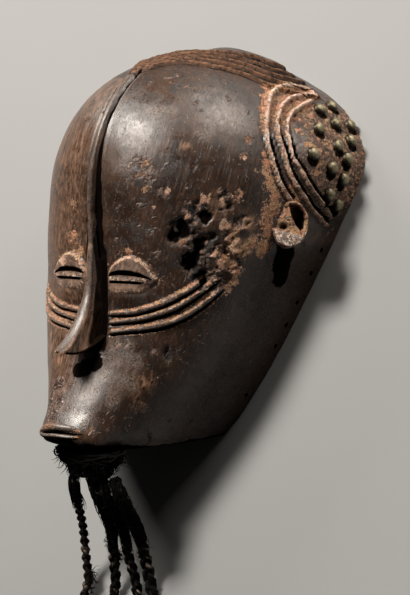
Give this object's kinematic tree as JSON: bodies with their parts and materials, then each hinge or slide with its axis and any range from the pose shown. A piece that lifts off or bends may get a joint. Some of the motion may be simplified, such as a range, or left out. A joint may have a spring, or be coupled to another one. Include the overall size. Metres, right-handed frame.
{
  "type": "carved wooden face mask",
  "caption": "Carved wooden face mask of the Guro kind, hollow behind, with blade nose, slit eyes, cheek scars, ears, banded hair, studded side lobes and a plaited fibre beard.",
  "frame": {"origin": "on the surface the mask lies on, under the middle of the box round the mask and its tie, plaits left out", "axes": "+Z out through the face, +Y towards the crown, +X towards the mask's own left ear"},
  "size_m": [0.2144, 0.467, 0.1449],
  "materials": {
    "wood": "dark brown carved wood with a glossy worn patina and ochre crust in the recesses",
    "brass": "aged greenish brass, dull with worn bright tops",
    "fibre": "blackened plaited plant fibre, dry and frayed"
  },
  "bodies": {
    "root": {"mask": "wood", "tack_left_1": "brass", "tack_right_1": "brass", "tack_left_2": "brass", "tack_right_2": "brass", "tack_left_3": "brass", "tack_right_3": "brass", "tack_left_4": "brass", "tack_right_4": "brass", "tack_left_5": "brass", "tack_right_5": "brass", "tack_left_6": "brass", "tack_right_6": "brass", "tack_left_7": "brass", "tack_right_7": "brass", "tack_left_8": "brass", "tack_right_8": "brass", "tack_left_9": "brass", "tack_right_9": "brass", "tack_left_10": "brass", "tack_right_10": "brass", "tack_left_11": "brass", "tack_right_11": "brass", "tack_left_12": "brass", "tack_right_12": "brass", "tack_left_13": "brass", "tack_right_13": "brass", "beard_tie": "fibre", "plait_1": "fibre", "plait_1_knot": "fibre", "plait_2": "fibre", "plait_2_knot": "fibre", "plait_3": "fibre", "plait_3_knot": "fibre", "plait_4": "fibre", "plait_4_knot": "fibre"}
  },
  "joints": []
}
